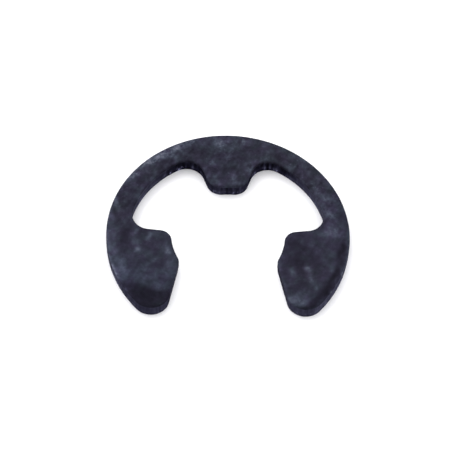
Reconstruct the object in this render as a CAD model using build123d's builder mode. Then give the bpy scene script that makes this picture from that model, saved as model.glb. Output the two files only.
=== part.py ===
from build123d import *
import os
from math import cos, sin, radians, sqrt, hypot

# E clip: a flat radial retaining ring, stamped in one stroke from hardened spring strip.
# It is pushed sideways over a shaft and its three pads grip the floor of an 8 mm groove.
#
# Frame: the clip lies flat, its lower face on Z = 0, its upper face at Z = thickness.
# The origin is on the shaft axis, which is also the centre of the outer circle.
# +Y points from the open mouth to the centre tooth. The clip is a mirror image across X = 0.

os.makedirs("parts", exist_ok=True)

# ---------------------------------------------------------------- driving dimensions, mm
outer_radius = 8.0          # outside diameter 16.0
thickness = 1.0             # strip thickness

pad_radius = 4.0            # the three pads follow the 8 mm groove floor
pad_close_in = 0.28         # each prong pad stands this far inside the groove when free
pad_centre_y = -0.01        # height of the two prong pads' arc centres

tooth_end_y = 3.825         # middle of the tooth's hollow end
tooth_flank_x = 1.506       # the flank passes through (tooth_flank_x, tooth_flank_y)
tooth_flank_y = 4.8
tooth_flank_angle = 69.4    # slope of the flank, degrees from +X
tooth_end_fillet = 1.0      # rounded corner of the tooth's end
tooth_root_fillet = 1.155   # between flank and arm

arm_inner_radius = 6.376    # inner edge of the bowed arm
arm_centre_x = 0.102        # its centre is a little past the axis, so the arm thins to the sides
arm_centre_y = 0.127
window_fillet = 1.10        # outer corner of the side window, between arm and prong

shoulder_x = 4.96           # the prong's upper edge passes through (shoulder_x, shoulder_y)
shoulder_y = 0.425
shoulder_angle = 6.1        # slope of that edge
shoulder_fillet = 0.81      # between that edge and the pad

throat_fillet = 0.75        # rounded nose at the throat, below the pad
lead_in_x = 3.549           # the flared lead-in passes through (lead_in_x, lead_in_y)
lead_in_y = -3.6
lead_in_angle = -76.8       # slope of the flare
tip_fillet = 1.27           # rounded tip, between the flare and the outer circle

die_roll = 0.08             # rounded upper rim, drawn down as the punch entered
burr_break = 0.03           # tumbled lower rim


# ---------------------------------------------------------------- corner points of the outline
def crossing(through, angle, centre, radius, near):
    """Where the line through a point at an angle cuts a circle, on the side nearest a point."""
    ux, uy = cos(radians(angle)), sin(radians(angle))
    dx, dy = through[0] - centre[0], through[1] - centre[1]
    b = ux * dx + uy * dy
    root = sqrt(b * b - (dx * dx + dy * dy - radius * radius))
    ends = [(through[0] + s * ux, through[1] + s * uy) for s in (-b - root, -b + root)]
    return min(ends, key=lambda p: hypot(p[0] - near[0], p[1] - near[1]))


def on_arc(centre, radius, start, end):
    """The middle point of the short arc from start to end about a centre."""
    mx = (start[0] + end[0]) / 2 - centre[0]
    my = (start[1] + end[1]) / 2 - centre[1]
    k = radius / hypot(mx, my)
    return (centre[0] + mx * k, centre[1] + my * k)


tooth_centre = (0.0, tooth_end_y - pad_radius)
pad_centre = (-pad_close_in, pad_centre_y)
arm_centre = (arm_centre_x, arm_centre_y)
flank_point = (tooth_flank_x, tooth_flank_y)
shoulder_point = (shoulder_x, shoulder_y)
lead_in_point = (lead_in_x, lead_in_y)

tooth_corner = crossing(flank_point, tooth_flank_angle, tooth_centre, pad_radius, (1.1, 3.7))
root_corner = crossing(flank_point, tooth_flank_angle, arm_centre, arm_inner_radius, (2.0, 6.2))
window_corner = crossing(shoulder_point, shoulder_angle, arm_centre, arm_inner_radius, (6.4, 0.5))
shoulder_corner = crossing(shoulder_point, shoulder_angle, pad_centre, pad_radius, (3.7, 0.3))
throat_corner = crossing(lead_in_point, lead_in_angle, pad_centre, pad_radius, (3.1, -2.1))
tip_corner = crossing(lead_in_point, lead_in_angle, (0.0, 0.0), outer_radius, (4.5, -6.6))

# ---------------------------------------------------------------- the clip
with BuildPart() as e_clip:
    with BuildSketch() as blank:
        with BuildLine() as outline:
            # right half, from the tooth's flank round the side window to the prong's tip
            Line(tooth_corner, root_corner)
            ThreePointArc(
                root_corner,
                on_arc(arm_centre, arm_inner_radius, root_corner, window_corner),
                window_corner,
            )
            Line(window_corner, shoulder_corner)
            ThreePointArc(
                shoulder_corner,
                on_arc(pad_centre, pad_radius, shoulder_corner, throat_corner),
                throat_corner,
            )
            Line(throat_corner, tip_corner)
            mirror(about=Plane.YZ)
            # the tooth's hollow end and the outer circle cross the mirror plane unbroken
            ThreePointArc((-tooth_corner[0], tooth_corner[1]), (0, tooth_end_y), tooth_corner)
            ThreePointArc((-tip_corner[0], tip_corner[1]), (0, outer_radius), tip_corner)
        make_face()
        # every corner of the punched outline is rounded
        for corner, radius in (
            (tooth_corner, tooth_end_fillet),
            (root_corner, tooth_root_fillet),
            (window_corner, window_fillet),
            (shoulder_corner, shoulder_fillet),
            (throat_corner, throat_fillet),
            (tip_corner, tip_fillet),
        ):
            for side in (1, -1):
                spot = Vector(side * corner[0], corner[1], 0)
                fillet(blank.vertices().sort_by_distance(spot)[0], radius=radius)
    extrude(amount=thickness)
    # drawn-down rim on the punch side, light break on the die side
    fillet(e_clip.faces().sort_by(Axis.Z)[-1].edges(), radius=die_roll)
    fillet(e_clip.faces().sort_by(Axis.Z)[0].edges(), radius=burr_break)

e_clip.part.label = "e_clip"
export_step(e_clip.part, "parts/e_clip.step")

box = e_clip.part.bounding_box()
print("solids", len(e_clip.part.solids()), "volume mm3", round(e_clip.part.volume, 3))
print("size mm", round(box.size.X, 3), round(box.size.Y, 3), round(box.size.Z, 3))
print("lowest y", round(box.min.Y, 3), "face area", round(blank.sketch.area, 3))
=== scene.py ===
import math

import bpy
import numpy as np
from mathutils import Matrix, Vector, noise
from mathutils.geometry import delaunay_2d_cdt
from mathutils.kdtree import KDTree


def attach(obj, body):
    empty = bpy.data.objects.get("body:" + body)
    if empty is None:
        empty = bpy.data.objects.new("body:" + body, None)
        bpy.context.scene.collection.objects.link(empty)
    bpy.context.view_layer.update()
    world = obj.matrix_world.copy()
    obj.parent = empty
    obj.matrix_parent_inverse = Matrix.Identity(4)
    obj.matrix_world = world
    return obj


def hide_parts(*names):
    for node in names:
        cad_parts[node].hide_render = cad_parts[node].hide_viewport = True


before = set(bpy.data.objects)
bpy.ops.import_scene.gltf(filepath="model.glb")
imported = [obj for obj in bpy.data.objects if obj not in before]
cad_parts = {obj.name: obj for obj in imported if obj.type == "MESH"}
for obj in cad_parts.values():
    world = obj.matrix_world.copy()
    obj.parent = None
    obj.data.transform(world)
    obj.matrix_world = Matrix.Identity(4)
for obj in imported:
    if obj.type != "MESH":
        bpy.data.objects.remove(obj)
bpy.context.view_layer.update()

MM = 0.001

# ---------------------------------------------------------------- the clip's dimensions, mm, as in its CAD source
R = 8.0
T = 1.0
PAD_R, PAD_IN, PAD_Y = 4.0, 0.28, -0.01
TOOTH_Y = 3.825
FLANK, FLANK_A = (1.506, 4.8), math.radians(69.4)
ARM_C, ARM_R = (0.102, 0.127), 6.376
SHOULDER, SHOULDER_A = (4.96, 0.425), math.radians(6.1)
LEAD, LEAD_A = (3.549, -3.6), math.radians(-76.8)
F_TOOTH, F_ROOT, F_WINDOW, F_SHOULDER, F_THROAT, F_TIP = 1.0, 1.155, 1.10, 0.81, 0.75, 1.27

# ---------------------------------------------------------------- outline: arcs and lines, each corner rounded by a tangent arc


def line(p, a):
    return ("L", np.array(p, float), np.array([math.cos(a), math.sin(a)]))


def circle(c, r):
    return ("C", np.array(c, float), float(r))


def distance(k, x):
    """Signed distance to a line or circle, and the direction in which it grows."""
    if k[0] == "L":
        n = np.array([-k[2][1], k[2][0]])
        return float(n @ (x - k[1])), n
    v = x - k[1]
    d = float(np.hypot(*v))
    return d - k[2], v / d


def rounding(a, b, near, r):
    """Centre and touching points of the arc of radius r beside curves a and b, found from a nearby point."""
    x = np.array(near, float)
    sa = 1 if distance(a, x)[0] > 0 else -1
    sb = 1 if distance(b, x)[0] > 0 else -1
    for _ in range(60):
        fa, na = distance(a, x)
        fb, nb = distance(b, x)
        step = np.linalg.solve(np.array([na, nb]), -np.array([fa - sa * r, fb - sb * r]))
        size = float(np.hypot(*step))
        x = x + step * min(1.0, 0.5 / max(size, 1e-12))
        if size < 1e-12:
            break
    return x, x - sa * r * distance(a, x)[1], x - sb * r * distance(b, x)[1]


def arc(c, p, q, step, turn=None):
    c = np.array(c, float)
    a0, a1 = math.atan2(*(p - c)[::-1]), math.atan2(*(q - c)[::-1])
    r = float(np.hypot(*(p - c)))
    d = (a1 - a0 + math.pi) % (2 * math.pi) - math.pi
    if turn == "ccw" and d < 0:
        d += 2 * math.pi
    n = max(2, int(math.ceil(abs(d) * r / step)))
    t = a0 + d * np.linspace(0, 1, n + 1)[:-1]
    return np.stack([c[0] + r * np.cos(t), c[1] + r * np.sin(t)], 1)


def straight(p, q, step):
    n = max(1, int(math.ceil(float(np.hypot(*(q - p))) / step)))
    t = np.linspace(0, 1, n + 1)[:-1, None]
    return p + (q - p) * t


def outline(step):
    """The clip's outline as a closed loop of points, anticlockwise."""
    tooth = circle((0, TOOTH_Y - PAD_R), PAD_R)
    flank, arm = line(FLANK, FLANK_A), circle(ARM_C, ARM_R)
    shoulder, pad = line(SHOULDER, SHOULDER_A), circle((-PAD_IN, PAD_Y), PAD_R)
    lead, rim = line(LEAD, LEAD_A), circle((0, 0), R)
    c1, a1, b1 = rounding(tooth, flank, (0.5, 4.8), F_TOOTH)
    c2, a2, b2 = rounding(flank, arm, (2.55, 4.9), F_ROOT)
    c3, a3, b3 = rounding(arm, shoulder, (5.2, 1.5), F_WINDOW)
    c4, a4, b4 = rounding(shoulder, pad, (4.5, -0.4), F_SHOULDER)
    c5, a5, b5 = rounding(pad, lead, (4.0, -2.2), F_THROAT)
    c6, a6, b6 = rounding(lead, rim, (5.0, -4.4), F_TIP)
    top = np.array([0.0, TOOTH_Y])
    crown = np.array([0.0, R])
    parts = [
        arc(tooth[1], top, a1, step), arc(c1, a1, b1, step), straight(b1, a2, step), arc(c2, a2, b2, step),
        arc(arm[1], b2, a3, step), arc(c3, a3, b3, step), straight(b3, a4, step), arc(c4, a4, b4, step),
        arc(pad[1], b4, a5, step), arc(c5, a5, b5, step), straight(b5, a6, step), arc(c6, a6, b6, step),
        arc((0, 0), b6, crown, step, "ccw"),
    ]
    right = np.concatenate(parts + [crown[None]])
    left = right[::-1].copy()
    left[:, 0] *= -1
    loop = np.concatenate([right[:-1], left[:-1]])
    # the half goes tooth, prong, tip, rim, crown, so the body is always on its left
    return loop


def even(loop, step):
    """The same loop with points at even spacing."""
    d = np.r_[0, np.cumsum(np.hypot(*(np.roll(loop, -1, 0) - loop).T))]
    closed = np.r_[loop, loop[:1]]
    n = int(round(d[-1] / step))
    s = np.linspace(0, d[-1], n, endpoint=False)
    return np.stack([np.interp(s, d, closed[:, k]) for k in (0, 1)], 1), s, d[-1]


STEP = 0.062
loop, arc_s, loop_length = even(outline(0.01), STEP)
loop = loop * (1 - 0.0008)         # a hair inside the nominal outline
tangent = np.roll(loop, -1, 0) - np.roll(loop, 1, 0)
tangent /= np.linalg.norm(tangent, axis=1)[:, None]
area = 0.5 * np.sum(loop[:, 0] * np.roll(loop[:, 1], -1) - np.roll(loop[:, 0], -1) * loop[:, 1])
outward = np.stack([tangent[:, 1], -tangent[:, 0]], 1) * (1 if area > 0 else -1)
N = len(loop)


def fbm(x, y, z, octaves=3):
    return noise.fractal(Vector((x, y, z)), 1.0, 2.0, octaves, noise_basis="PERLIN_ORIGINAL")


# ---------------------------------------------------------------- section of the punched edge
# s is the depth into the body from the wall, z the height; the strip is 1 mm thick


def smooth(a, b, x):
    t = np.clip((x - a) / (b - a), 0, 1)
    return t * t * (3 - 2 * t)


on_rim = smooth(7.89, 7.98, np.hypot(loop[:, 0], loop[:, 1]))  # 1 on the outer circle

roll_w = 0.20 + 0.12 * on_rim      # how far in the punch drew the rim down
roll_d = 0.045 + 0.02 * on_rim     # and how deep
for i, (x, y) in enumerate(loop):
    roll_w[i] *= 1 + 0.10 * fbm(x * 0.9, y * 0.9, 3.1)
    roll_d[i] *= 1 + 0.14 * fbm(x * 0.8, y * 0.8, 7.7)

TURN = 0.05                        # radius of the rim's own corner
TOP = T - 0.012                    # mean height of the upper face: its unevenness stays inside the strip


def unevenness(x, y):
    """Slight waviness of the rolled strip's faces, 0 to about 0.012 mm down."""
    return 0.006 + 0.0045 * fbm(x * 0.42, y * 0.42, 1.3, 2) + 0.0018 * fbm(x * 1.7, y * 1.7, 5.2, 2)


rows = []      # each row: (x, y, z) for all N outline points, from the upper face out, down and in
u = np.array([unevenness(x, y) for x, y in loop])
for f in (1.0, 0.82, 0.66, 0.51, 0.38, 0.27, 0.18, 0.11):
    s = roll_w * f
    drop = roll_d * (1 - f) ** 2.1
    rows.append((s, T - u - drop))
z_corner = rows[-1][1] - 0.006
s_corner = rows[-1][0]
for k in range(1, 6):
    a = math.radians(12 + (90 - 12) * k / 5)
    s = s_corner * (1 - (math.sin(a) - math.sin(math.radians(12))) / (1 - math.sin(math.radians(12))))
    z = z_corner - TURN * (math.cos(math.radians(12)) - math.cos(a))
    rows.append((s, z))
first_wall_row = len(rows) - 1
z_top_wall = rows[-1][1]

# where the smooth sheared band ends and the torn band begins wanders round the edge
torn = np.array([0.44 + 0.05 * fbm(x * 0.7, y * 0.7, 11.0, 3) for x, y in loop])
drag = np.array([noise.noise(Vector((s * 6.5, 0.3, 0.0))) + 0.6 * noise.noise(Vector((s * 14.0, 5.3, 0.0))) for s in arc_s])
for f in (0.2, 0.45, 0.7, 0.9):
    z = z_top_wall + (torn + 0.02 - z_top_wall) * f
    s = 0.0015 + 0.0022 * np.abs(drag) * min(1, f * 3)
    rows.append((s, z))
low = 0.045
for k in range(8):
    f = k / 7
    z = torn + (low - torn) * f
    rough = np.array([
        noise.noise(Vector((s_ * 5.0, zz * 4.0, 2.0))) + 0.7 * noise.noise(Vector((s_ * 11.0, zz * 9.0, 8.0)))
        for s_, zz in zip(arc_s, z)
    ])
    s = 0.004 + 0.030 * f ** 1.2 + 0.012 * (0.5 + 0.5 * rough)
    rows.append((s, z))
# lower rim: lightly tumbled burr, then the lower face
s_low = rows[-1][0]
for k in range(1, 4):
    a = math.radians(90 * k / 3)
    rows.append((s_low + 0.035 * (1 - math.cos(a)), low - (low - 0.0015) * math.sin(a)))
rows.append((s_low + 0.10, np.full(N, 0.0015)))
ul = np.array([unevenness(x + 31, y - 17) for x, y in loop]) * 0.25
rows.append((s_low + 0.20, ul))

verts, faces, wall_flag = [], [], []
for s, z in rows:
    p = loop - outward * np.asarray(s).reshape(-1, 1)
    verts.append(np.column_stack([p, np.broadcast_to(z, (N,))]))
verts = np.concatenate(verts)
ccw = area > 0
for r in range(len(rows) - 1):
    a, b = r * N, (r + 1) * N
    for i in range(N):
        j = (i + 1) % N
        quad = (a + i, b + i, b + j, a + j)
        faces.append(quad if ccw else quad[::-1])
        wall_flag.append(1 if r >= first_wall_row and r < len(rows) - 2 else 0)


def fill(ring, first, height, spacing, up):
    """Triangles over the inside of a ring, with an even scatter of points, each at its own height."""
    m = len(ring)
    lo, hi = ring.min(0), ring.max(0)
    pts = []
    row = 0
    y = lo[1]
    while y <= hi[1]:
        x = lo[0] + (spacing / 2 if row % 2 else 0)
        while x <= hi[0]:
            pts.append((x, y))
            x += spacing
        y += spacing * math.sqrt(3) / 2
        row += 1
    pts = np.array(pts)
    inside = np.zeros(len(pts), bool)
    q = np.roll(ring, -1, 0)
    for (x0, y0), (x1, y1) in zip(ring, q):
        hit = (y0 > pts[:, 1]) != (y1 > pts[:, 1])
        with np.errstate(divide="ignore", invalid="ignore"):
            xi = (x1 - x0) * (pts[:, 1] - y0) / (y1 - y0) + x0
        inside ^= hit & (pts[:, 0] < xi)
    pts = pts[inside]
    tree = KDTree(m)
    for i, p in enumerate(ring):
        tree.insert((p[0], p[1], 0), i)
    tree.balance()
    keep = [tree.find((p[0], p[1], 0))[2] > spacing * 0.62 for p in pts]
    pts = pts[np.array(keep)]
    every = [Vector((float(p[0]), float(p[1]))) for p in np.concatenate([ring, pts])]
    out_v, _, out_f, ids, _, _ = delaunay_2d_cdt(every, [], [list(range(m))], 1, 1e-7)
    index, new = {}, []
    for k, v in enumerate(out_v):
        src = ids[k]
        if src and src[0] < m:
            index[k] = first + src[0]
        else:
            index[k] = None
            new.append((k, (v[0], v[1], height(v[0], v[1]))))
    return index, new, out_f, up


def add_fill(ring_row, height, spacing, up):
    global verts
    ring = verts[ring_row * N:(ring_row + 1) * N, :2]
    index, new, tris, _ = fill(ring, ring_row * N, height, spacing, up)
    base = len(verts)
    verts = np.concatenate([verts, np.array([p for _, p in new])])
    for k, (i, _) in enumerate(new):
        index[i] = base + k
    for t in tris:
        ids = [index[i] for i in t]
        p = verts[ids[:3]]
        n = np.cross(p[1] - p[0], p[2] - p[0])[2]
        if (n > 0) != up:
            ids.reverse()
        faces.append(tuple(ids))
        wall_flag.append(0)


add_fill(0, lambda x, y: T - unevenness(x, y), 0.085, True)
add_fill(len(rows) - 1, lambda x, y: 0.25 * unevenness(x + 31, y - 17), 0.16, False)

# ---------------------------------------------------------------- tone of the phosphate coat
# Soft stains and rubbed spots, with painted highlights and painted shade along the rims, as ellipses (x, y, half
# length, half width, turn in degrees, strength), and strokes (x0, y0, x1, y1, width, strength). Strength is the natural
# logarithm of the change in reflectance.
SPOTS = [
    # painted highlights on the upper left rim, where its roll faces the light, partly rubbed wear
    (-3.02, 6.96, 0.50, 0.26, 28, 0.56), (-3.80, 6.54, 0.44, 0.28, 36, 0.74), (-4.60, 6.08, 0.60, 0.28, 40, 0.84),
    (-5.36, 5.46, 0.46, 0.24, 47, 0.50), (-6.14, 4.70, 0.50, 0.22, 57, 0.72), (-3.42, 6.18, 0.13, 0.12, 0, 0.60),
    (-2.45, 7.25, 0.34, 0.20, 15, 0.45), (-0.55, 7.45, 0.28, 0.36, 10, 0.58), (0.02, 7.45, 0.16, 0.22, 0, 0.38),
    (0.2, 7.3, 1.7, 0.5, 0, 0.10), (6.95, 0.9, 0.6, 1.0, 0, 0.10), (5.0, -2.6, 1.3, 1.4, 0, -0.08),
    (1.05, 7.58, 0.38, 0.24, -10, 0.62), (-1.02, 5.78, 0.15, 0.25, 18, 0.66), (-0.85, 5.40, 0.42, 0.20, 0, -0.24), (0.38, 4.62, 0.16, 0.34, 0, 0.80),
    (0.80, 4.12, 0.42, 0.16, 8, 0.44), (-0.64, 4.08, 0.44, 0.17, 0, 0.46), (1.56, 5.42, 0.28, 0.38, 0, 0.78),
    (2.45, 6.30, 0.62, 0.22, -8, 0.22), (4.40, 6.32, 0.34, 0.20, -38, 0.34), (5.95, 3.56, 0.22, 0.30, 0, 0.62),
    (6.44, 2.80, 0.30, 0.42, 0, 0.42), (6.78, 1.60, 0.38, 0.50, 0, 0.50), (6.90, 0.32, 0.50, 0.36, 0, 0.46),
    # painted highlights along the left outer rim, where its roll faces the light
    (-7.38, 2.52, 0.17, 0.50, 12, 0.76), (-7.62, 1.35, 0.16, 0.26, 5, 0.40), (-7.60, -0.45, 0.22, 0.95, 0, 0.46), (-7.50, -1.30, 0.26, 0.46, 8, 0.42),
    (-7.02, -2.62, 0.34, 0.72, 15, 0.66), (-6.05, -0.60, 0.24, 0.20, 0, 0.45), (-5.92, -1.22, 0.17, 0.22, 0, 0.95),
    (-3.93, -1.30, 0.18, 0.32, 0, 0.75), (-4.95, -3.30, 0.95, 0.70, 0, 0.16), (-3.78, -2.62, 0.40, 0.58, 0, 0.40),
    (5.16, -2.52, 0.17, 0.16, 0, 1.05), (4.20, -2.95, 0.24, 0.42, -20, 0.20), (6.76, -2.66, 0.20, 0.32, -20, 0.36),
    (4.36, -5.06, 0.42, 0.36, 0, 0.62), (5.05, -5.32, 0.46, 0.24, 0, 0.50), (4.92, -4.80, 0.42, 0.22, 0, 0.30),
    (4.75, -1.10, 0.55, 0.85, 0, -0.34), (-5.60, 0.22, 0.32, 0.22, 0, -0.34), (-6.45, 2.20, 0.34, 0.55, 0, -0.30),
    (4.95, -3.80, 0.52, 0.26, 0, -0.20), (-6.80, -0.20, 0.26, 0.70, 0, -0.26), (0.36, 6.10, 0.12, 0.22, 0, -0.15),
    (-6.45, 3.30, 0.42, 0.50, 0, -0.12), (7.42, 1.45, 0.22, 0.36, 0, -0.15), (-2.50, 6.55, 0.70, 0.30, 20, -0.10),
    (0.0, 5.1, 1.0, 0.9, 0, -0.22), (5.2, -1.75, 1.0, 0.24, 0, -0.14), (4.74, 5.42, 0.32, 0.30, 0, 0.40),
    (-5.88, 3.68, 0.36, 0.30, 30, -0.42), (-4.28, 5.66, 0.42, 0.20, 45, -0.34), (-0.98, 6.62, 0.46, 0.34, 0, -0.38),
    (-1.82, 6.06, 0.34, 0.36, 0, -0.28), (-1.80, 6.98, 0.34, 0.22, 0, -0.24), (4.50, -2.16, 0.46, 0.30, 0, -0.32),
    (5.74, -2.32, 0.30, 0.30, 0, -0.32), (7.34, 2.92, 0.22, 0.36, 0, -0.30), (-6.94, 1.98, 0.24, 0.36, 0, -0.28),
    (7.10, -0.18, 0.28, 0.26, 0, -0.26), (5.72, -0.78, 0.28, 0.36, 0, 0.22),
]
STROKES = [
    (0.05, 6.05, 0.50, 7.35, 0.09, 0.30), (0.92, 6.85, 1.22, 7.40, 0.08, 0.28), (5.18, -2.55, 5.86, -4.30, 0.14, 0.50),
    (-5.45, -0.55, -4.98, 0.12, 0.13, 0.50), (-6.35, -0.15, -5.95, 0.35, 0.10, 0.35), (3.98, -2.40, 4.42, -3.35, 0.12, 0.32),
    (-5.75, -2.85, -5.30, -2.15, 0.12, 0.24), (-4.95, -2.30, -4.50, -1.85, 0.11, 0.20), (2.20, 6.95, 2.75, 7.35, 0.10, 0.20),
]


# where the coat leans to violet (below zero) or to green-blue: x, y, half widths, how far
CASTS = [
    (-4.8, -2.8, 1.5, 1.0, 0.42), (-5.1, -4.7, 0.9, 0.6, 0.40), (4.2, -2.4, 1.0, 0.8, -0.42), (6.2, -2.2, 0.8, 0.8, -0.42),
    (7.1, 0.6, 0.5, 0.9, -0.45), (7.2, 2.6, 0.5, 0.8, -0.32), (-7.3, 0.6, 0.5, 0.8, -0.42), (5.0, 5.5, 0.7, 0.5, 0.30),
    (-4.2, 6.4, 0.6, 0.5, -0.26), (4.1, -4.0, 0.6, 0.5, 0.25), (6.0, -4.8, 0.5, 0.5, -0.22), (-2.3, 6.2, 0.6, 0.5, 0.22),
    (3.6, 6.7, 0.6, 0.5, 0.22), (-5.6, 5.3, 0.6, 0.5, -0.20), (-6.5, 4.2, 0.5, 0.6, -0.18), (1.3, 5.2, 0.6, 0.5, -0.14),
    (-5.2, -5.0, 0.8, 0.5, -0.10), (-5.2, -4.9, 0.8, 0.5, 0.30), (-6.1, -2.8, 0.6, 0.6, -0.18), (-7.2, 1.9, 0.4, 0.7, 0.20), (7.0, 0.4, 0.4, 0.6, -0.18), (-3.8, 6.4, 0.6, 0.5, -0.16),
]
# where it leans to blue (above zero) or to grey
BLUES = [
    (-6.6, -3.4, 1.4, 1.2, 0.080), (-4.2, -3.8, 0.7, 0.8, 0.050), (-5.6, -5.1, 0.8, 0.4, 0.030), (5.2, -2.8, 1.0, 0.9, -0.050),
    (5.8, -5.0, 0.6, 0.4, 0.050), (3.4, 6.2, 1.6, 0.9, -0.045), (-2.3, 6.3, 0.8, 0.7, -0.035), (-5.4, 5.3, 0.9, 0.6, -0.040),
    (-7.2, 1.9, 0.4, 0.7, -0.040), (5.6, 4.4, 0.8, 0.9, -0.040), (1.2, 7.3, 0.9, 0.5, -0.030), (7.3, 2.0, 0.5, 1.0, 0.030),
    (1.0, 4.9, 0.7, 0.7, -0.025),
]


def warp(x, y):
    """The point moved a little, so that no stain has a drawn edge."""
    return (
        x + 0.16 * noise.noise(Vector((x * 1.6, y * 1.6, 4.1))) + 0.07 * noise.noise(Vector((x * 4.3, y * 4.3, 9.2))),
        y + 0.16 * noise.noise(Vector((x * 1.6, y * 1.6, 14.7))) + 0.07 * noise.noise(Vector((x * 4.3, y * 4.3, 19.6))),
    )


def coat_tone(P):
    """Logarithm of the coat's tone at points on the upper side, and on the walls under it: stains and wear, with
    painted highlights and painted dark reflections.
    """
    W = np.array([warp(x, y) for x, y in P])
    tone = np.zeros(len(P))
    for cx, cy, a, b, turn, k in SPOTS:
        t = math.radians(turn)
        part = float(smooth(0.1, 0.5, math.sqrt(a * b)))       # a small spot keeps its own shape
        dx, dy = P[:, 0] + (W[:, 0] - P[:, 0]) * part - cx, P[:, 1] + (W[:, 1] - P[:, 1]) * part - cy
        p, q = (dx * math.cos(t) + dy * math.sin(t)) / a, (-dx * math.sin(t) + dy * math.cos(t)) / b
        tone += k * np.exp(-0.72 * (p * p + q * q))
    for x0, y0, x1, y1, w, k in STROKES:
        dx, dy = x1 - x0, y1 - y0
        f = np.clip(((W[:, 0] - x0) * dx + (W[:, 1] - y0) * dy) / (dx * dx + dy * dy), 0, 1)
        d2 = (W[:, 0] - x0 - f * dx) ** 2 + (W[:, 1] - y0 - f * dy) ** 2
        tone += k * np.exp(-0.5 * d2 / (w * w)) * smooth(0, 0.15, f) ** 0.5 * smooth(1, 0.85, f) ** 0.5
    # the left prong's nose is painted darker below a ragged front: a painted dark reflection
    front = -4.10 - 0.24 * (W[:, 0] + 5.6) - 0.05 * np.sin(2.4 * W[:, 0])
    left_nose = smooth(0.26, -0.30, W[:, 1] - front) * (W[:, 0] < 0)
    tone += -0.72 * left_nose
    # the rim is lighter along the upper left: partly rubbed wear, partly a painted highlight
    r0, a0 = np.hypot(P[:, 0], P[:, 1]), np.degrees(np.arctan2(P[:, 1], P[:, 0]))
    tone += 0.18 * np.exp(-((r0 - 7.85) / 0.20) ** 2) * smooth(102, 112, a0) * smooth(152, 136, a0)
    # a painted dark reflection: a dark band follows the right prong's outer edge
    r = np.hypot(W[:, 0], W[:, 1])
    ang = np.degrees(np.arctan2(W[:, 1], W[:, 0]))
    along = smooth(1, -6, ang) * (1 - 0.70 * np.exp(-((ang + 15.8) / 3.0) ** 2)) * smooth(-56, -46, ang)
    centre = 7.60 - 0.20 * np.exp(-((ang + 11.5) / 3.5) ** 2)
    tone += -0.70 * np.exp(-((r - centre) / 0.25) ** 2) * along * (W[:, 0] > 0)
    return tone


def coat_cast(P, patches):
    cast = np.zeros(len(P))
    for cx, cy, a, b, k in patches:
        cast += k * np.exp(-0.7 * (((P[:, 0] - cx) / a) ** 2 + ((P[:, 1] - cy) / b) ** 2))
    return cast


def wall_painted_light(P):
    """The same for the sheared walls, all painted light and shade: darkest in the two notches as painted shade, lighter
    round the outside as painted reflection.
    """
    r = np.hypot(P[:, 0], P[:, 1])
    ang = np.degrees(np.arctan2(P[:, 1], P[:, 0]))
    rim = smooth(7.75, 7.9, r)
    side = smooth(-1, -9, ang) * smooth(-50, -40, ang) + smooth(-131, -145, ang) * smooth(-181, -176, ang)
    tone = rim * (1.15 + 0.75 * side * (1 - 0.25 * (P[:, 0] < 0)) + 0.40 * smooth(-6, 12, ang) * smooth(186, 168, ang) + 0.50 * smooth(-4.2, -5.6, P[:, 1]))
    x = np.abs(P[:, 0])
    tone += (1 - rim) * 0.84 * smooth(-4.3, -5.1, P[:, 1])
    tone += (1 - rim) * 0.45 * smooth(1.5, 1.1, x) * smooth(3.4, 3.7, P[:, 1])
    tone += (1 - rim) * 0.45 * smooth(3.0, 0.5, P[:, 1])
    tone += (1 - rim) * (0.55 + (1.00 * smooth(3.5, 4.8, x) + 0.35 * smooth(4.6, 5.6, x)) * smooth(1.0, 2.4, P[:, 1]))
    return tone


tone = coat_tone(verts[:, :2])
under = verts[:, 2] < 0.02
cast = np.where(under, 0.0, coat_cast(verts[:, :2], CASTS))
blue = np.where(under, 0.0, coat_cast(verts[:, :2], BLUES))
# the lower face gets a moved, weaker copy of the same stains and painted light
tone_low = coat_tone(np.column_stack([-verts[:, 0] * 0.9 + 0.7, verts[:, 1] * 0.8 + 1.1])) * 0.6
tone = np.where(under, tone_low, tone)
edge = np.zeros(len(verts))
for r in range(len(rows)):
    if 1 <= r <= first_wall_row:
        edge[r * N:(r + 1) * N] = (0.04, 0.10, 0.18, 0.28, 0.40, 0.54, 0.72, 0.90, 1.0, 1.0, 0.9, 0.5)[r - 1]
    if len(rows) - 5 <= r <= len(rows) - 3:
        edge[r * N:(r + 1) * N] = 0.8
# painted light and shade for the walls, kept in the walls attribute
walls = wall_painted_light(verts[:, :2])
# round the two notches the drag of the punch shows as short dark ticks reaching over the rim
ax, ay = np.abs(verts[:, 0]), verts[:, 1]
in_notch = smooth(1.35, 1.9, ax) * smooth(5.0, 3.4, ax) * smooth(3.6, 4.4, ay) * smooth(7.6, 7.3, np.hypot(ax, ay))
reach = np.zeros(len(verts))
for r in range(len(rows) - 2):
    reach[r * N:(r + 1) * N] = (0.0, 0.05, 0.15, 0.3, 0.5, 0.7, 0.9, 1.0)[r] if r < 8 else 1.0
ticks = in_notch * reach
# how deeply the punch has drawn its lines: most in the notches and on the tooth, least on the prongs' noses
on_tooth = smooth(1.6, 1.3, ax) * smooth(3.4, 3.7, ay) * smooth(7.6, 7.3, np.hypot(ax, ay))
on_arm = smooth(3.2, 4.0, ax) * smooth(1.6, 2.6, ay) * smooth(7.6, 7.3, np.hypot(ax, ay))
drawn = np.maximum(np.maximum(in_notch, on_tooth), 0.60 - 0.10 * smooth(-4.0, -5.0, ay) - 0.28 * on_arm)
on_top = verts[:, 2] > 0.5
outer = smooth(7.5, 7.7, np.hypot(ax, ay))
nose = smooth(-4.3, -5.0, ay)
edge = np.where(on_top, edge * (0.55 + 1.05 * outer) * (1 - 0.75 * in_notch) * (1 - 0.75 * nose), edge)

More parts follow.
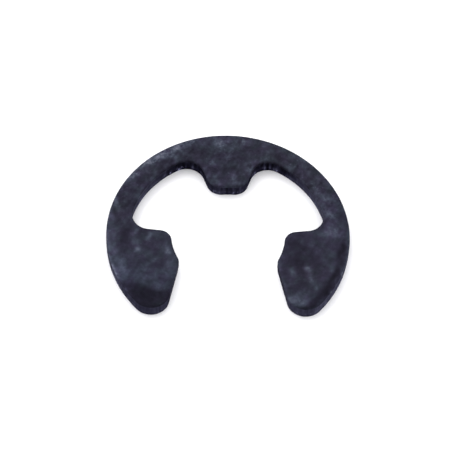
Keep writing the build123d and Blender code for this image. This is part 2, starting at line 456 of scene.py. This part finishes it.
mesh = bpy.data.meshes.new("clip_body")
mesh.from_pydata([tuple(v) for v in verts * MM], [], faces)
changed = mesh.validate()
mesh.update()
for name, values in (("tone", tone), ("edge", edge), ("walls", walls), ("ticks", ticks), ("drawn", drawn), ("cast", cast), ("blue", blue)):
    mesh.attributes.new(name, "FLOAT", "POINT").data.foreach_set("value", values.astype(np.float32))
clip = bpy.data.objects.new("clip_body", mesh)
bpy.context.scene.collection.objects.link(clip)
for p, w in zip(mesh.polygons, wall_flag):
    p.material_index = w
    p.use_smooth = True
tri = sum(len(p.vertices) - 2 for p in mesh.polygons)
print("faces", len(mesh.polygons), "triangles", tri, "outline", N, "length", round(loop_length, 2), "validate changed", changed)

# ---------------------------------------------------------------- materials


class Graph:
    def __init__(self, name):
        self.m = bpy.data.materials.new(name)
        self.m.use_nodes = True
        self.t = self.m.node_tree
        self.t.nodes.clear()
        self.out = self.add("ShaderNodeOutputMaterial")
        self.sh = self.add("ShaderNodeBsdfPrincipled")
        self.link(self.sh.outputs[0], self.out.inputs[0])
        co = self.add("ShaderNodeTexCoord")
        self.mm = self.vec("MULTIPLY", co.outputs["Object"], (1000, 1000, 1000))

    def add(self, kind):
        return self.t.nodes.new(kind)

    def link(self, a, b):
        self.t.links.new(a, b)

    def put(self, value, socket):
        if isinstance(value, bpy.types.NodeSocket):
            self.link(value, socket)
        else:
            socket.default_value = value

    def vec(self, op, a, b):
        n = self.add("ShaderNodeVectorMath")
        n.operation = op
        self.put(a, n.inputs[0])
        self.put(b, n.inputs[1])
        return n.outputs[0]

    def math(self, op, a, b=0.0, clamp=False):
        n = self.add("ShaderNodeMath")
        n.operation = op
        n.use_clamp = clamp
        self.put(a, n.inputs[0])
        self.put(b, n.inputs[1])
        return n.outputs[0]

    def noise(self, scale, detail=2.0, rough=0.5, vector=None, offset=(0, 0, 0), distort=0.0):
        n = self.add("ShaderNodeTexNoise")
        v = self.vec("ADD", vector or self.mm, offset)
        self.link(v, n.inputs["Vector"])
        n.inputs["Scale"].default_value = scale
        n.inputs["Detail"].default_value = detail
        n.inputs["Roughness"].default_value = rough
        n.inputs["Distortion"].default_value = distort
        return n.outputs["Fac"]

    def signed(self, fac, gain):
        """Noise about zero, times a gain."""
        return self.math("MULTIPLY", self.math("SUBTRACT", fac, 0.5), gain)

    def ramp(self, fac, lo, hi, to_lo=0.0, to_hi=1.0):
        n = self.add("ShaderNodeMapRange")
        n.interpolation_type = "SMOOTHSTEP"
        self.put(fac, n.inputs["Value"])
        n.inputs["From Min"].default_value = lo
        n.inputs["From Max"].default_value = hi
        n.inputs["To Min"].default_value = to_lo
        n.inputs["To Max"].default_value = to_hi
        return n.outputs["Result"]

    def mix(self, fac, a, b):
        n = self.add("ShaderNodeMix")
        n.data_type = "RGBA"
        self.put(fac, n.inputs[0])
        self.put(a, n.inputs[6])
        self.put(b, n.inputs[7])
        return n.outputs[2]

    def attribute(self, name):
        n = self.add("ShaderNodeAttribute")
        n.attribute_name = name
        return n.outputs["Fac"]

    def bump(self, height, distance, strength=1.0, normal=None):
        n = self.add("ShaderNodeBump")
        n.inputs["Strength"].default_value = strength
        n.inputs["Distance"].default_value = distance
        self.link(height, n.inputs["Height"])
        if normal is not None:
            self.link(normal, n.inputs["Normal"])
        return n.outputs[0]


def total(g, *terms):
    s_ = terms[0]
    for x in terms[1:]:
        s_ = g.math("ADD", s_, x)
    return s_


# the coated faces: dark blue-grey phosphate, mottled at three scales, each lighter where the tone field says
g = Graph("phosphate_face")
rolled = math.radians(64)        # the way the strip's faint roll marks run


def dot(graph, a, b):
    n = graph.add("ShaderNodeVectorMath")
    n.operation = "DOT_PRODUCT"
    graph.put(a, n.inputs[0])
    graph.put(b, n.inputs[1])
    return n.outputs["Value"]


turned = g.add("ShaderNodeCombineXYZ")
g.link(dot(g, g.mm, (0.24 * math.cos(rolled), 0.24 * math.sin(rolled), 0)), turned.inputs[0])
g.link(dot(g, g.mm, (-math.sin(rolled), math.cos(rolled), 0)), turned.inputs[1])
broad = g.noise(0.55, 2.0, 0.5, offset=(3.1, 8.4, 1.0))
mottle = g.noise(1.7, 2.0, 0.55, offset=(11.0, 2.0, 5.0), distort=0.3)
grain = g.noise(4.6, 1.6, 0.5, offset=(1.0, 7.0, 3.0))
fine = g.noise(14.0, 2.0, 0.6, offset=(4.0, 4.0, 9.0))
streak = g.noise(3.4, 2.0, 0.5, vector=turned.outputs[0], offset=(7.0, 3.0, 0.0))
speck = g.ramp(g.noise(5.5, 1.0, 0.5, offset=(21.0, 5.0, 2.0)), 0.64, 0.78)
rub = g.ramp(g.noise(2.3, 2.0, 0.6, offset=(5.0, 25.0, 2.0)), 0.40, 0.70, 0.25, 1.0)
places = g.add("ShaderNodeSeparateXYZ")
g.link(g.mm, places.inputs[0])
upper = g.ramp(places.outputs[1], -0.5, 3.0)
# the lighter part of the tone field, painted rim highlights among it, broken into streaks, most toward the crown
broken = g.math("SUBTRACT", g.ramp(g.noise(4.2, 2.0, 0.6, offset=(2.0, 31.0, 6.0)), 0.34, 0.66, 0.55, 1.35), 0.95)
broken = g.math("ADD", g.math("MULTIPLY", broken, g.ramp(places.outputs[1], -0.5, 3.0, 0.3, 1.0)), 0.95)
light = g.math("MULTIPLY", g.math("MAXIMUM", g.attribute("tone"), 0.0), g.math("MULTIPLY", broken, 1.25))
tick = g.ramp(g.noise(3.6, 2.0, 0.6, vector=g.vec("MULTIPLY", g.mm, (1.0, 0.16, 0.0)), offset=(8.0, 2.0, 0.0)), 0.36, 0.62, 0.15, 1.0)
# the darker part of the tone field, with its painted dark reflections, and the punch's ticks
dark = g.math("SUBTRACT", g.math("MULTIPLY", g.math("MINIMUM", g.attribute("tone"), 0.0), 1.1),
              g.math("MULTIPLY", g.math("MULTIPLY", g.attribute("ticks"), tick), 0.9))
calm = g.math("ADD", g.math("MULTIPLY", upper, 0.45), 0.60)     # the prongs' coat is smoother than the crown's
ln = total(
    g, light, dark, g.signed(broad, 0.9), g.math("MULTIPLY", g.signed(mottle, 1.60), g.math("ADD", g.math("MULTIPLY", upper, 0.25), 0.75)), g.math("MULTIPLY", g.signed(grain, 0.84), calm),
    g.math("MULTIPLY", g.signed(fine, 0.14), calm), g.math("MULTIPLY", g.signed(streak, 0.8), calm), g.math("MULTIPLY", g.math("MULTIPLY", speck, 0.40), calm),
    g.math("MULTIPLY", g.math("MULTIPLY", g.attribute("edge"), rub), 1.05),
)
gain = g.math("EXPONENT", ln)
hue = g.signed(g.noise(1.3, 3.0, 0.55, offset=(40.0, 12.0, 2.0)), 4.6)
tint = g.mix(g.ramp(g.math("ADD", g.math("ADD", ln, hue), g.attribute("cast")), -0.75, 1.00), (0.0141, 0.0128, 0.0233, 1), (0.0132, 0.0154, 0.0226, 1))
tint = g.mix(g.ramp(ln, 0.5, 1.4), tint, (0.0146, 0.0155, 0.0212, 1))
bluer = g.add("ShaderNodeCombineXYZ")
bluer.inputs[0].default_value = bluer.inputs[1].default_value = 1.0
g.link(g.math("ADD", g.attribute("blue"), 0.99), bluer.inputs[2])
tint = g.vec("MULTIPLY", tint, bluer.outputs[0])
colour = g.add("ShaderNodeVectorMath")
colour.operation = "SCALE"
g.link(tint, colour.inputs[0])
g.link(gain, colour.inputs["Scale"])
g.link(colour.outputs[0], g.sh.inputs["Base Color"])
g.sh.inputs["Metallic"].default_value = 0.8
rough = g.math("SUBTRACT", 0.46, g.math("MULTIPLY", ln, 0.07))
g.link(g.ramp(rough, 0.30, 0.62, 0.30, 0.62), g.sh.inputs["Roughness"])
g.sh.inputs["Specular IOR Level"].default_value = 0.17
g.sh.inputs["Specular Tint"].default_value = (0.58, 0.58, 0.63, 1)
h = total(g, g.math("MULTIPLY", mottle, 0.5), g.math("MULTIPLY", grain, 0.35), g.math("MULTIPLY", fine, 0.12))
g.link(g.bump(h, 0.006 * MM), g.sh.inputs["Normal"])
coat = g.m

# the sheared walls: darker and duller, the dark partly a painted shade, drawn lines down them, painted glints in the
# torn band, and the walls' painted light and shade
w = Graph("sheared_wall")
stretch = w.vec("MULTIPLY", w.mm, (1.0, 1.0, 0.12))
lines = w.noise(5.5, 2.0, 0.65, vector=stretch, offset=(2.0, 5.0, 1.0))
patch = w.noise(1.1, 2.0, 0.5, vector=stretch, offset=(9.0, 1.0, 4.0))
torn_n = w.noise(8.0, 3.0, 0.65, offset=(6.0, 3.0, 2.0))
teeth = w.noise(3.8, 1.0, 0.5, vector=w.vec("MULTIPLY", w.mm, (1.0, 0.3, 0.25)), offset=(4.0, 9.0, 7.0))
up_down = w.add("ShaderNodeSeparateXYZ")
w.link(w.mm, up_down.inputs[0])
z_mm = up_down.outputs[2]
foot = w.math("MULTIPLY", w.ramp(z_mm, 0.62, 0.30, 0.20, 0.70), w.ramp(up_down.outputs[1], -4.8, -3.0, 0.35, 1.0))
torn = w.ramp(z_mm, 0.50, 0.38)
painted_glint = w.math("MULTIPLY", w.ramp(w.noise(5.5, 1.0, 0.5, vector=w.vec("MULTIPLY", w.mm, (1, 1, 0.5)), offset=(3, 8, 1)), 0.60, 0.70), torn)
wln = total(
    w, w.attribute("walls"), w.math("MULTIPLY", w.attribute("tone"), 0.25), w.math("MULTIPLY", w.signed(lines, 4.2), w.attribute("drawn")), w.signed(patch, 1.2), w.math("MULTIPLY", w.attribute("ticks"), w.math("ADD", w.ramp(z_mm, 0.40, 0.65, 0.10, -0.30), w.math("MULTIPLY", w.signed(teeth, 7.0), w.ramp(z_mm, 0.40, 0.70, 1.0, 0.45)))),
    w.math("MULTIPLY", w.signed(torn_n, 1.8), torn), foot, w.math("MULTIPLY", painted_glint, w.math("ADD", w.math("MULTIPLY", w.attribute("drawn"), 1.2), w.attribute("ticks"))), w.math("MULTIPLY", w.attribute("edge"), 0.3),
)
wgain = w.math("EXPONENT", wln)
wc = w.add("ShaderNodeVectorMath")
wc.operation = "SCALE"
# very dark wall colours: partly a painted shade
wtint = w.mix(w.ramp(z_mm, 0.15, 0.60), (0.0029, 0.0027, 0.0063, 1), (0.0034, 0.0032, 0.0062, 1))
wtint = w.mix(w.ramp(wln, 1.0, 2.4), wtint, (0.0037, 0.0037, 0.0060, 1))
w.link(wtint, wc.inputs[0])
w.link(wgain, wc.inputs["Scale"])
w.link(wc.outputs[0], w.sh.inputs["Base Color"])
# the walls' metallic follows the same painted light and shade
w.link(w.ramp(w.attribute("walls"), 0.3, 1.3, 0.0, 0.5), w.sh.inputs["Metallic"])
w.sh.inputs["Roughness"].default_value = 0.6
w.sh.inputs["Specular IOR Level"].default_value = 0.0
w.sh.inputs["Specular Tint"].default_value = (0.58, 0.58, 0.63, 1)
w.link(w.bump(w.math("ADD", lines, torn_n), 0.012 * MM), w.sh.inputs["Normal"])
wallm = w.m

mesh.materials.append(coat)
mesh.materials.append(wallm)

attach(clip, "root")
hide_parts("e_clip")

# ---------------------------------------------------------------- floor, light, camera
floor_mesh = bpy.data.meshes.new("floor")
h = 0.6
floor_mesh.from_pydata([(-h, -h, 0), (h, -h, 0), (h, h, 0), (-h, h, 0)], [], [(0, 1, 2, 3)])
floor = bpy.data.objects.new("floor", floor_mesh)
floor.location.z = -0.00001
bpy.context.scene.collection.objects.link(floor)
fg = Graph("pale_floor")
fg.sh.inputs["Base Color"].default_value = (0.93, 0.93, 0.935, 1)
fg.sh.inputs["Roughness"].default_value = 0.8
fg.sh.inputs["Specular IOR Level"].default_value = 0.1
floor_mesh.materials.append(fg.m)

scene = bpy.context.scene
world = bpy.data.worlds.new("studio")
world.use_nodes = True
bg = world.node_tree.nodes["Background"]
bg.inputs[0].default_value = (0.98, 0.98, 1.0, 1)
bg.inputs[1].default_value = 1.3
scene.world = world
scene.view_settings.view_transform = "Standard"


def softbox(name, azimuth, elevation, distance_, size, radiance, colour=(1, 1, 1)):
    a, e = math.radians(azimuth), math.radians(elevation)
    d = Vector((math.sin(a) * math.cos(e), math.cos(a) * math.cos(e), math.sin(e)))
    data = bpy.data.lights.new(name, "AREA")
    data.shape = "RECTANGLE"
    data.size, data.size_y = size
    data.energy = radiance * math.pi * size[0] * size[1]
    data.color = colour
    o = bpy.data.objects.new(name, data)
    o.location = d * distance_
    o.rotation_mode = "QUATERNION"
    o.rotation_quaternion = d.to_track_quat("Z", "Y")
    scene.collection.objects.link(o)
    return o


softbox("back_box", -8, 54, 0.30, (0.40, 0.24), 1.5)
softbox("left_box", -68, 44, 0.32, (0.34, 0.28), 1.1)
softbox("right_box", 78, 22, 0.34, (0.20, 0.14), 1.0)

# camera: 56 degrees above the floor, on the open side of the clip, from far off
E, ROLL, YAW = math.radians(56.15), math.radians(3.22), math.radians(-2.95)
PX = 122.03 / 8.0            # picture pixels per mm at the upper face
DIST = 400.0
right0 = Vector((math.cos(YAW), math.sin(YAW), 0))
up0 = Vector((-math.sin(YAW) * math.sin(E), math.cos(YAW) * math.sin(E), math.cos(E)))
back = Vector((math.sin(YAW) * math.cos(E), -math.cos(YAW) * math.cos(E), math.sin(E)))
cam_x = math.cos(ROLL) * right0 + math.sin(ROLL) * up0
cam_y = -math.sin(ROLL) * right0 + math.cos(ROLL) * up0
dx, dy = (227.62 - 225.5) / PX, (234.53 - 225.5) / PX
cam_data = bpy.data.cameras.new("camera")
cam_data.sensor_width = 36
cam_data.lens = PX * DIST / 452 * 36
cam_data.clip_start, cam_data.clip_end = 0.01, 10
cam = bpy.data.objects.new("camera", cam_data)
m = Matrix((
    (cam_x.x, cam_y.x, back.x), (cam_x.y, cam_y.y, back.y), (cam_x.z, cam_y.z, back.z)
)).to_4x4()
place = (Vector((0, 0, T)) + back * DIST - cam_x * dx + cam_y * dy) * MM
m.translation = place
cam.matrix_world = m
scene.collection.objects.link(cam)
scene.camera = cam
